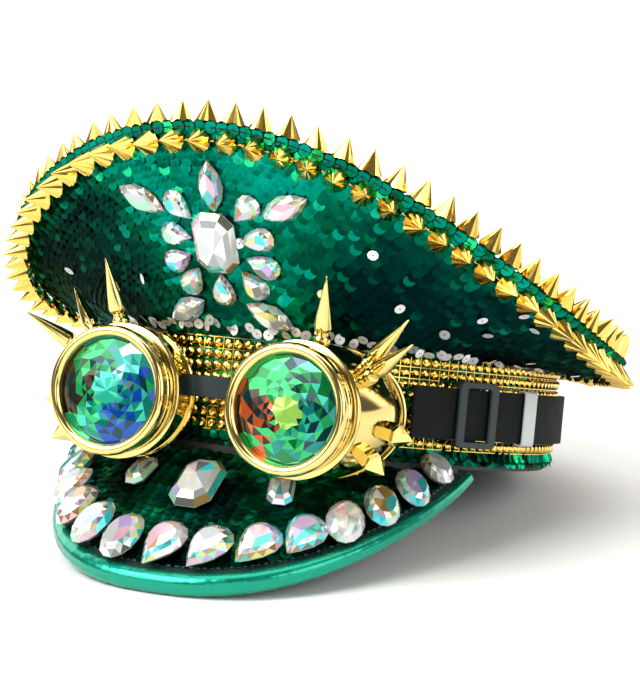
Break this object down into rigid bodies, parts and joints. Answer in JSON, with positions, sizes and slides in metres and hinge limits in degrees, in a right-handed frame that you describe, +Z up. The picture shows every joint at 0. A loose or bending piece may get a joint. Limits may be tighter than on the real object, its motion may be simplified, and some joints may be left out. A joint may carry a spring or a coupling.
{
  "type": "sequinned captain's cap with goggles",
  "caption": "Peaked festival cap with a high sequinned crown, rows of cone studs, stone trim and spiked screw-lens goggles on an elastic strap.",
  "frame": {"origin": "middle of the whole cap's box, on the surface that it stands on", "axes": "+Z up; the peak and the goggles face -Y and +X is the wearer's left; the cap stands on its peak and the back of its band, tipped back 11.77 degrees"},
  "size_m": [0.2614, 0.297, 0.1786],
  "materials": {
    "sequin_green": "overlapping metallic green sequins",
    "buckram": "stiff matt weave",
    "satin": "black satin",
    "gold": "gold plated, polished",
    "green_foil": "metallic green coated leather, glossy",
    "crystal": "clear and faceted, with a rainbow coating",
    "lens": "green faceted kaleidoscope glass",
    "elastic": "ribbed black elastic",
    "black_plastic": "satin moulded",
    "grey_plastic": "satin moulded",
    "steel": "spring wire"
  },
  "bodies": {
    "cap": {"headband": "buckram", "sweatband": "satin", "band_sequin_cover": "sequin_green", "rhinestone_mesh_band": "gold", "crown_side": "sequin_green", "crown_top": "sequin_green", "crown_hoop": "steel", "crown_lining": "satin", "lower_stud_trim": "gold", "upper_stud_trim": "gold", "visor_board": "buckram", "visor_top_cover": "sequin_green", "visor_underside": "satin", "visor_binding": "green_foil", "crown_emerald": "crystal", "crown_marquise_top": "crystal", "crown_marquise_upper_left": "crystal", "crown_marquise_upper_right": "crystal", "crown_marquise_lower_left": "crystal", "crown_marquise_lower_right": "crystal", "crown_teardrop_1": "crystal", "crown_teardrop_2": "crystal", "crown_teardrop_3": "crystal", "crown_teardrop_4": "crystal", "crown_teardrop_5": "crystal", "crown_teardrop_6": "crystal", "crown_teardrop_7": "crystal", "crown_teardrop_8": "crystal", "crown_teardrop_9": "crystal", "visor_emerald": "crystal", "visor_small_stone_left": "crystal", "visor_small_stone_right": "crystal", "visor_gem_border": "crystal", "strap_loop": "elastic"},
    "goggles": {"left_eyecup": "gold", "left_long_spike_1": "gold", "left_long_spike_2": "gold", "left_long_spike_3": "gold", "left_small_spike_1": "gold", "left_small_spike_2": "gold", "left_strap_front": "elastic", "right_eyecup": "gold", "right_long_spike_1": "gold", "right_long_spike_2": "gold", "right_long_spike_3": "gold", "right_small_spike_1": "gold", "right_small_spike_2": "gold", "right_strap_front": "elastic", "nose_bridge": "black_plastic"},
    "left_lens": {"left_lens": "lens"},
    "left_ring": {"left_lens_ring": "gold"},
    "right_lens": {"right_lens": "lens"},
    "right_ring": {"right_lens_ring": "gold"},
    "buckle": {"strap_buckle": "black_plastic"},
    "keeper": {"strap_keeper": "grey_plastic"}
  },
  "joints": [
    {"name": "goggles_pull", "type": "slide", "parent": "cap", "child": "goggles", "axis": [0, -0.979, 0.2039], "range_m": [0, 0.02], "stiffness_N_per_m": 60, "springref_m": -0.01},
    {"name": "left_lens_out", "type": "slide", "parent": "goggles", "child": "left_lens", "axis": [0, -0.979, 0.2039], "range_m": [0, 0.003]},
    {"name": "left_ring_unscrew", "type": "hinge", "parent": "left_lens", "child": "left_ring", "pos_m": [0.038, -0.11391, 0.06709], "axis": [0, -0.979, 0.2039], "range_deg": [0, 720]},
    {"name": "right_lens_out", "type": "slide", "parent": "goggles", "child": "right_lens", "axis": [0, -0.979, 0.2039], "range_m": [0, 0.003]},
    {"name": "right_ring_unscrew", "type": "hinge", "parent": "right_lens", "child": "right_ring", "pos_m": [-0.038, -0.11391, 0.06709], "axis": [0, -0.979, 0.2039], "range_deg": [0, 720]},
    {"name": "buckle_slide", "type": "slide", "parent": "cap", "child": "buckle", "axis": [0.3377, 0.9215, -0.1919], "range_m": [-0.007, 0.003]},
    {"name": "keeper_slide", "type": "hinge", "parent": "cap", "child": "keeper", "pos_m": [-0.03548, 0.01996, 0.04263], "axis": [0, 0.2039, 0.979], "range_deg": [-4, 6]}
  ],
  "couplings": [
    {"joint": "left_ring_unscrew", "follows": "left_lens_out", "rad_per_m": 4188.8},
    {"joint": "right_ring_unscrew", "follows": "right_lens_out", "rad_per_m": 4188.8}
  ]
}
